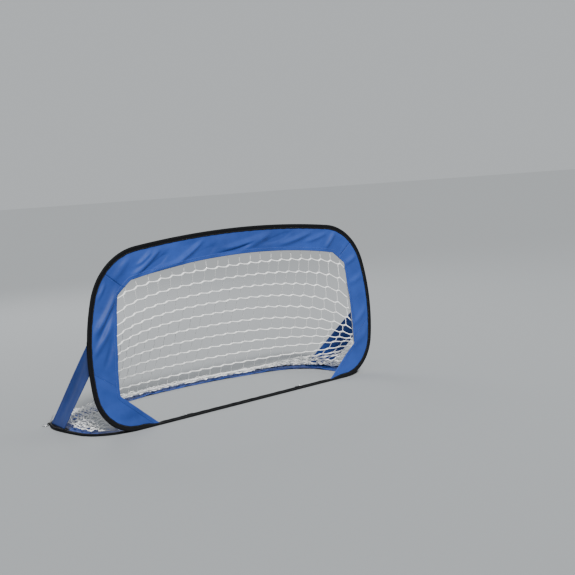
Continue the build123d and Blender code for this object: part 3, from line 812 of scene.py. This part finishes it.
class GOAL_OT_facing(bpy.types.Operator):
    """Make the facing panels and gussets, slack and creased, and the hem round the mouth"""

    bl_idname = "goal.facing"
    bl_label = "Facing"

    def execute(self, context):
        low_in, low_out = mouth_mark(0.5007, 0.137), seam_mark(HOOP, *SEAM_LOW)
        high_in, high_out = mouth_mark(0.4552, 0.431), seam_mark(HOOP, *SEAM_HIGH)
        crown_in, crown_out = MOUTH_RUN[-1], HOOP["length"] / 2
        spans = (("gusset", (0.0157, low_in), (0.362, low_out), (False, True), 90),
                 ("facing", (low_in, high_in), (low_out, high_out), (True, True), 130))
        for name, inner, outer, seams, cols in spans:
            x, z = panel_grid(inner, outer, 44, cols, seams)
            for side, word in ((1, "right"), (-1, "left")):
                out = billow(x * side, z)
                sheet = cloth_panel(f"{name}_{word}_cloth", x * side, z, out, place_hoop, *seams)
                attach(sheet, "upright_hoop")
                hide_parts(f"{name}_{word}")
        x, z = panel_grid((high_in, crown_in), (high_out, crown_out), 44, 190, (True, False))
        x, z = both_halves(x, z)
        top = cloth_panel("facing_top_cloth", x, z, billow(x, z), place_hoop)
        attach(top, "upright_hoop")
        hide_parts("facing_top")
        for name, start, end, side in (("mouth_hem_right", 0.002, high_in, 1),
                                       ("mouth_hem_left", 0.002, high_in, -1),
                                       ("mouth_hem_top", high_in, crown_in, 0)):
            hem, thread = mouth_hem(name + "_fold", start, end, side, 110)
            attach(hem, "upright_hoop")
            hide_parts(name)
            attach(thread, "upright_hoop")
        lines = []
        for marks_in, marks_out in ((low_in, low_out), (high_in, high_out)):
            for shift in (-0.0035, 0.0035):
                ix, iz = on_mouth(marks_in + shift)
                ox, oz = on_loop(HOOP, marks_out + shift, 0.014)
                share = np.linspace(0.08, 1, 60)
                px, pz = ix + (ox - ix) * share, iz + (oz - iz) * share
                for side in (1, -1):
                    path = place_hoop(px * side, pz, billow(px * side, pz) + 0.0005)
                    lines.append(stitches(path, FORWARD, thread=0.00036))
        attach(piece("facing_seam_stitches", lines, "blue_thread"), "upright_hoop")
        return {"FINISHED"}


class GOAL_OT_border(bpy.types.Operator):
    """Make the blue border strips inside the ground loop"""

    bl_idname = "goal.border"
    bl_label = "Ground border"

    def execute(self, context):
        side_start, rear_start = BASE["marks"][1], BASE["marks"][4]
        inset = np.concatenate([np.linspace(CLOTH_INSET, 0.058, 22), np.linspace(0.0595, 0.070, 9)])[None]
        for name, start, end in (("right", side_start, rear_start), ("left", side_start, rear_start),
                                 ("rear", rear_start, BASE["length"] - rear_start)):
            s = np.linspace(start, end, 150)[:, None]
            mirror = -1 if name == "left" else 1
            x, y = on_loop(BASE, s, inset)
            free = ease((inset - 0.014) / 0.03)
            wave = 0.0016 * ripple(0.0, s, (0.17, 0.26)) + 0.0012 * ripple(3.0, s + inset, (0.06, 0.095))
            hem = 0.0006 * ease((inset - 0.0595) / 0.002) * (1 - ease((inset - 0.0665) / 0.003))
            out = np.maximum(free * wave + hem - 0.0008 * free, -0.0024)
            strip = cloth_panel(f"border_{name}_cloth", x * mirror, y, out, place_base, name == "rear")
            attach(strip, "ground_loop")
            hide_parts(f"base_border_{name}")
            px, py = on_loop(BASE, s[:, 0], 0.0625)
            path = place_base(px * mirror, py, out[:, 23] + 0.0006)
            thread = piece(f"border_{name}_stitches", [stitches(path, UPWARD)], "blue_thread")
            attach(thread, "ground_loop")
        return {"FINISHED"}


class GOAL_OT_straps(bpy.types.Operator):
    """Make the two side straps with their stitched ends"""

    bl_idname = "goal.straps"
    bl_label = "Side straps"

    def execute(self, context):
        for word, side in (("right", 1), ("left", -1)):
            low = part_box(f"side_strap_{word}")[0]
            upper = GOAL_HEIGHT * np.array([0.343, 0.496])
            depth = CAD_HIGH[1] - CAD_LOW[1]
            near, far = BASE_FRONT + 0.394 * depth, BASE_FRONT + 0.619 * depth
            hoop_x, near_x, far_x = (on_loop(loop, height_mark(loop, mark), TAPE_WIDTH / 2)[0] for loop, mark in (
                (HOOP, upper.mean()), (BASE, near - BASE_FRONT), (BASE, far - BASE_FRONT)))
            head = np.array([[hoop_x, low[1] + 0.0006, upper[0]], [hoop_x, low[1] + 0.0006, upper[1]]])
            foot = np.array([[near_x, near, low[2]], [far_x, far, low[2]]])
            across = np.concatenate([[0, 0.012, 0.03, 0.06], np.linspace(0.09, 0.91, 24), [0.94, 0.97, 0.988, 1]])
            across = across[None, :, None]
            along = np.linspace(0, 1, 60)[:, None, None]
            ends = [end[0] + (end[1] - end[0]) * across for end in (head, foot)]
            points = ends[0] + (ends[1] - ends[0]) * along
            hem = (ease((0.075 - across) / 0.02) + ease((across - 0.925) / 0.02)) * 0.0007
            belly = 0.0035 * np.sin(np.pi * along) * np.sin(np.pi * across)
            crease = ripple(0.0 if side > 0 else 2.0, across * 0.1 + along * 0.02, (0.045, 0.07))
            crease = 0.0016 * crease * np.sin(np.pi * along)
            points = points - np.array([1.0, 0, 0]) * (belly + crease - hem)
            points = points * np.array([side, 1, 1])
            u = np.linspace(0, 0.37, 60)[:, None]
            part = grid_part(points[None], flat_uv(u, across[:, :, 0] * 0.1))
            strap = piece(f"side_strap_{word}_cloth", [part], "strap_fabric",
                          closed=False, thickness=context.scene.goal_cloth.strap)
            lines = []
            for column in (3, -4):
                for face in (1, -1):
                    path = points[:, column] + np.array([face * 0.0010, 0, 0])
                    lines.append(stitches(path, (face, 0, 0)))
            thread = piece(f"side_strap_{word}_stitches", lines, "blue_thread")
            for obj in (strap, thread):
                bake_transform(obj)
            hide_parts(f"side_strap_{word}")
            for name, outline, place, marks, face, body, reach in (
                    ("strap_tab", HOOP, place_hoop, upper + (-0.006, 0.006), -1, "upright_hoop", 0.021),
                    ("strap_foot", BASE, place_base, np.array([near, far]) - BASE_FRONT + (-0.006, 0.006), 1,
                     "ground_loop", 0.023)):
                start, end = height_mark(outline, marks[0]), height_mark(outline, marks[1])
                patch, sewn = tape_patch(f"{name}_{word}_patch", outline, place, start, end, face, side, reach)
                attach(patch, body)
                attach(sewn, body)
                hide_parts(f"{name}_{word}")
        return {"FINISHED"}


class GOAL_OT_hinge(bpy.types.Operator):
    """Make the fabric hinge that joins the hoop's foot to the ground loop's front"""

    bl_idname = "goal.hinge"
    bl_label = "Hinge tape"

    def execute(self, context):
        x = np.linspace(-0.36, 0.36, 180)[:, None]
        t = np.linspace(0, 1, 13)[None]
        y = HOOP_Y - 0.0012 + 0.0128 * t
        z = 0.0094 - 0.0018 * ease(t * 1.3) - 0.0016 * np.exp(-(((t - 0.42) / 0.16) ** 2))
        z = z + 0.0003 * ripple(0.0, x, (0.04, 0.066))
        points = stacked(x, y, z)[None]
        part = grid_part(points, flat_uv(x, t * 0.013))
        tape = piece("front_hinge_strip", [part], "binding_tape", closed=False,
                     thickness=0.0008)
        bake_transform(tape)
        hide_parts("front_hinge_tape")
        return {"FINISHED"}


class GOAL_OT_net(bpy.types.Operator):
    """Make the net's rows, strands, knots and edge cord"""

    bl_idname = "goal.net"
    bl_label = "Net"

    def execute(self, context):
        look = context.scene.goal_net
        parts = net_parts(look.pitch, look.drift, look.row_radius, look.strand_radius)
        net = piece("goal_net_twine", parts, "net_twine")
        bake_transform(net)
        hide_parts("goal_net")
        return {"FINISHED"}


def squared(wave, power):
    """A sine or cosine with its size raised to a power below 1, which squares off the round it draws."""
    return np.sign(wave) * np.abs(wave) ** power


class GOAL_OT_pegs(bpy.types.Operator):
    """Make the webbing loops that hold the pegs, and give the metal parts their finish"""

    bl_idname = "goal.pegs"
    bl_label = "Pegs and loops"

    def execute(self, context):
        turn = np.linspace(0, 2 * np.pi, 36, endpoint=False)[:, None]
        shape_a, shape_z = squared(np.cos(turn), 2 / 4.5), squared(np.sin(turn), 2 / 4.5)
        section = np.linspace(0, 2 * np.pi, 16, endpoint=False)[None]
        wide, thick = 0.010 * squared(np.cos(section), 0.25), 0.0004 * squared(np.sin(section), 0.6)
        for joint in frame["joints"]:
            if not joint["name"].startswith("peg_pull_"):
                continue
            word = joint["name"][len("peg_pull_"):]
            low, high = (np.array(c, float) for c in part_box(f"peg_loop_{word}"))
            centre = (low + high) / 2
            run = -np.array(joint["axis"], float)
            run /= np.linalg.norm(run)
            across = np.array([run[1], -run[0], 0.0])
            half_a, half_z = 0.00365, (high[2] - low[2]) / 2 - 0.0004
            a, z = (half_a + thick) * shape_a, (half_z + thick) * shape_z
            points = centre + a[..., None] * across + z[..., None] * np.array(UPWARD)
            points = points + (wide + 0 * a)[..., None] * run
            around = np.linspace(0, 0.028, 37)[:, None]
            over = np.linspace(0, 0.042, 17)[None]
            uv = flat_uv(over + 0 * around, around + 0 * over)
            part = grid_part(points[None], uv, wrap_i=True, wrap_j=True)
            loop = piece(f"peg_loop_{word}_webbing", [part], "webbing")
            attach(loop, "ground_loop")
            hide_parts(f"peg_loop_{word}")
        for name, node in frame["nodes"].items():
            slot = {"spring": "spring_steel", "ferrule": "ferrule_metal"}.get(name.split("_")[-1])
            if name.startswith("ground_peg"):
                slot = "peg_steel"
            if slot:
                node.data.materials.clear()
                node.data.materials.append(finish_of(slot))
        return {"FINISHED"}


def placed(right, up, back, place):
    """Matrix that turns an object's own axes to three directions and moves it to a place."""
    turned = Matrix(np.stack([right, up, back], 1).tolist()).to_4x4()
    turned.translation = place
    return turned


def soft_light(name, kind, place, target, size, power, colour=(1, 1, 1)):
    """A soft light at a place, turned to a target. Size is the square's side, or the angle of a far light."""
    data = bpy.data.lights.new(name, kind)
    data.energy, data.color = power, colour
    if kind == "AREA":
        data.size = size
    else:
        data.angle = size
    lamp = bpy.data.objects.new(name, data)
    bpy.context.scene.collection.objects.link(lamp)
    back = np.subtract(place, target)
    back = back / np.linalg.norm(back)
    right = np.cross((0, 0, 1), back)
    right /= np.linalg.norm(right)
    up = np.cross(back, right)
    lamp.matrix_world = placed(right, up, back, place)


class GOAL_OT_stage(bpy.types.Operator):
    """Make the plain floor, the soft studio light and the camera"""

    bl_idname = "goal.stage"
    bl_label = "Stage"

    def execute(self, context):
        scene = context.scene
        floor_mesh = bpy.data.meshes.new("studio_floor")
        reach = 400.0
        corners = [(x * reach, y * reach, 0) for x, y in ((-1, -1), (1, -1), (1, 1), (-1, 1))]
        floor_mesh.from_pydata(corners, [], [(0, 1, 2, 3)])
        floor = bpy.data.objects.new("studio_floor", floor_mesh)
        scene.collection.objects.link(floor)
        floor_mesh.materials.append(Finish("plain_floor", scene.goal_looks.floor_colour, 1.0, gloss=0.0).material)
        floor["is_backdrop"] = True
        world = bpy.data.worlds.new("studio")
        scene.world = world
        world.use_nodes = True
        sky = world.node_tree.nodes["Background"]
        sky.inputs["Color"].default_value = (0.93, 0.97, 1.0, 1)
        sky.inputs["Strength"].default_value = 0.56
        soft_light("key", "SUN", (-1.3, -3.2, 3.0), (0, 0, 0.25), 0.16, 5.0, (1.0, 0.99, 0.97))
        soft_light("fill", "AREA", (2.4, -3.6, 2.2), (0, 0, 0.2), 2.6, 40, (0.95, 0.98, 1.0))
        soft_light("back", "AREA", (1.2, 3.4, 3.0), (0, 0, 0.3), 2.2, 60)
        # the camera: place in metres, heading and dip and tilt in radians
        yaw, pitch, roll = 0.7751, 0.0977, -0.0716
        forward = np.array([math.sin(yaw) * math.cos(pitch), math.cos(yaw) * math.cos(pitch), -math.sin(pitch)])
        level = np.array([math.cos(yaw), -math.sin(yaw), 0.0])
        above = np.cross(level, forward)
        right = level * math.cos(roll) + above * math.sin(roll)
        up = above * math.cos(roll) - level * math.sin(roll)
        data = bpy.data.cameras.new("camera")
        data.sensor_width, data.lens = 36.0, 66.27
        data.shift_x = -0.06
        data.clip_start, data.clip_end = 0.05, 200
        camera = bpy.data.objects.new("camera", data)
        scene.collection.objects.link(camera)
        camera.matrix_world = placed(right, up, -forward, (-2.2186, -2.8806, 0.6960))
        scene.camera = camera
        return {"FINISHED"}


class GOAL_PT_panel(bpy.types.Panel):
    """The goal's pieces, colours and sizes"""

    bl_idname = "GOAL_PT_panel"
    bl_label = "Pop up goal"
    bl_space_type = "VIEW_3D"
    bl_region_type = "UI"
    bl_category = "Goal"

    def draw(self, context):
        for group in (context.scene.goal_looks, context.scene.goal_net, context.scene.goal_cloth):
            box = self.layout.box()
            for key in group.bl_rna.properties.keys():
                if key not in ("rna_type", "name"):
                    box.prop(group, key)
        for operator in OPERATORS:
            self.layout.operator(operator.bl_idname)


GROUPS = (("goal_looks", GoalLooks), ("goal_net", GoalNet), ("goal_cloth", GoalCloth))
OPERATORS = (GOAL_OT_tape, GOAL_OT_facing, GOAL_OT_border, GOAL_OT_straps, GOAL_OT_hinge, GOAL_OT_net,
             GOAL_OT_pegs, GOAL_OT_stage)


def register():
    for name, group in GROUPS:
        bpy.utils.register_class(group)
        setattr(bpy.types.Scene, name, bpy.props.PointerProperty(type=group))
    for cls in (*OPERATORS, GOAL_PT_panel):
        bpy.utils.register_class(cls)


def unregister():
    for cls in (GOAL_PT_panel, *reversed(OPERATORS)):
        bpy.utils.unregister_class(cls)
    for name, group in reversed(GROUPS):
        delattr(bpy.types.Scene, name)
        bpy.utils.unregister_class(group)


def main():
    register()
    for operator in (bpy.ops.goal.tape, bpy.ops.goal.facing, bpy.ops.goal.border, bpy.ops.goal.straps,
                     bpy.ops.goal.hinge, bpy.ops.goal.net, bpy.ops.goal.pegs, bpy.ops.goal.stage):
        operator()


if __name__ == "__main__":
    main()
